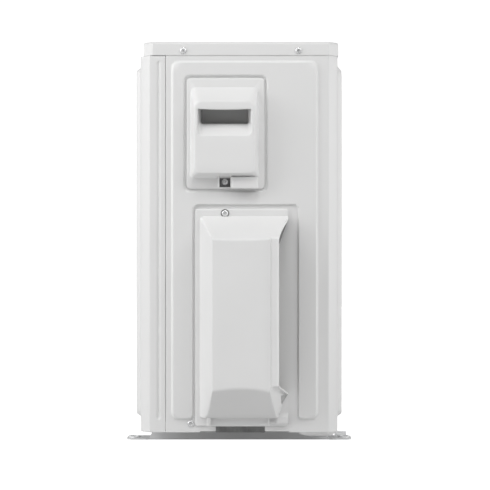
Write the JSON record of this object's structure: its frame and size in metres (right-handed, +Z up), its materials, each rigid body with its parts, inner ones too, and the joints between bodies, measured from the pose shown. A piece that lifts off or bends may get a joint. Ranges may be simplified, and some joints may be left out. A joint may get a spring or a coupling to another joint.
{
  "type": "heat pump outdoor unit",
  "caption": "Outdoor unit of a split heat pump: sheet-metal cabinet on feet, axial fan behind a round grille, L-shaped coil, and moulded terminal and valve covers on its service side.",
  "frame": {"origin": "centre of the bounding box's base, on the surface that the feet stand on", "axes": "+Z up, -Y is the front where the fan blows out, +X is the service side with the terminal cover and the valve cover"},
  "size_m": [0.9126, 0.406, 0.7039],
  "materials": {
    "cabinet_paint": "near-white light-grey satin powder coat",
    "cover_plastic": "light-grey moulded plastic, satin",
    "grille_plastic": "light-grey satin coating",
    "fan_plastic": "dark grey moulded plastic",
    "black_plastic": "black moulded plastic",
    "black_paint": "black satin paint",
    "screw_steel": "bright zinc plating",
    "galvanised": "galvanised sheet, faint spangle",
    "fin_aluminium": "thin bare fins",
    "copper": "bare copper tube, slightly dulled",
    "brass": "machined brass",
    "rubber": "black rubber",
    "board": "green solder mask"
  },
  "bodies": {
    "root": {"base_pan": "cabinet_paint", "front_panel": "cabinet_paint", "side_panel": "cabinet_paint", "top_cover": "cabinet_paint", "corner_post": "cabinet_paint", "left_guard": "grille_plastic", "rear_guard": "grille_plastic", "fan_shroud": "grille_plastic", "fan_grille": "grille_plastic", "foot_left": "galvanised", "foot_right": "galvanised", "fan_motor": "galvanised", "motor_bracket": "galvanised", "coil_plate_left": "galvanised", "coil_plate_right": "galvanised", "partition": "galvanised", "control_box": "galvanised", "terminal_plate": "galvanised", "valve_plate": "galvanised", "lid_screw_front": "screw_steel", "lid_screw_rear": "screw_steel", "base_screw": "screw_steel", "reactor": "screw_steel", "terminal_block": "black_plastic", "cable_clamp": "black_plastic", "compressor_cap": "black_plastic", "reversing_coil": "black_plastic", "expansion_coil": "black_plastic", "coil": "fin_aluminium", "heat_sink": "fin_aluminium", "control_board": "board", "gas_valve": "brass", "liquid_valve": "brass", "reversing_valve": "brass", "expansion_valve": "brass", "compressor": "black_paint", "accumulator": "black_paint", "grommet_1": "rubber", "grommet_2": "rubber", "grommet_3": "rubber", "discharge_pipe": "copper", "suction_pipe": "copper", "coil_pipe": "copper", "gas_pipe": "copper", "liquid_pipe": "copper"},
    "fan": {"fan_blades": "fan_plastic", "fan_nut": "black_plastic", "motor_shaft": "screw_steel"},
    "terminal_cover": {"terminal_cover": "cover_plastic"},
    "terminal_screw": {"terminal_cover_screw": "screw_steel"},
    "valve_cover": {"valve_cover": "cover_plastic"},
    "valve_screw": {"valve_cover_screw": "screw_steel"},
    "gas_cap": {"gas_cap": "brass"},
    "liquid_cap": {"liquid_cap": "brass"},
    "gas_stem": {"gas_stem": "screw_steel"},
    "liquid_stem": {"liquid_stem": "screw_steel"},
    "gas_flare_cap": {"gas_flare_cap": "brass"},
    "liquid_flare_cap": {"liquid_flare_cap": "brass"}
  },
  "joints": [
    {"name": "fan_spin", "type": "hinge", "parent": "root", "child": "fan", "pos_m": [-0.165, -0.1, 0.356], "axis": [0, 1, 0], "continuous": true},
    {"name": "terminal_cover_pull", "type": "slide", "parent": "root", "child": "terminal_cover", "axis": [1, 0, 0], "range_m": [0, 0.12]},
    {"name": "terminal_screw_out", "type": "slide", "parent": "terminal_cover", "child": "terminal_screw", "axis": [1, 0, 0], "range_m": [0, 0.01]},
    {"name": "valve_cover_pull", "type": "slide", "parent": "root", "child": "valve_cover", "axis": [1, 0, 0], "range_m": [0, 0.15]},
    {"name": "valve_screw_out", "type": "slide", "parent": "valve_cover", "child": "valve_screw", "axis": [1, 0, 0], "range_m": [0, 0.01]},
    {"name": "gas_cap_off", "type": "slide", "parent": "root", "child": "gas_cap", "axis": [1, 0, 0], "range_m": [0, 0.015]},
    {"name": "liquid_cap_off", "type": "slide", "parent": "root", "child": "liquid_cap", "axis": [1, 0, 0], "range_m": [0, 0.015]},
    {"name": "gas_stem_turn", "type": "hinge", "parent": "root", "child": "gas_stem", "pos_m": [0.4, -0.008, 0.17], "axis": [1, 0, 0], "range_deg": [0, 1440]},
    {"name": "liquid_stem_turn", "type": "hinge", "parent": "root", "child": "liquid_stem", "pos_m": [0.4, -0.008, 0.292], "axis": [1, 0, 0], "range_deg": [0, 1440]},
    {"name": "gas_flare_cap_off", "type": "slide", "parent": "root", "child": "gas_flare_cap", "axis": [0, 1, 0], "range_m": [0, 0.012]},
    {"name": "liquid_flare_cap_off", "type": "slide", "parent": "root", "child": "liquid_flare_cap", "axis": [0, 1, 0], "range_m": [0, 0.012]}
  ]
}
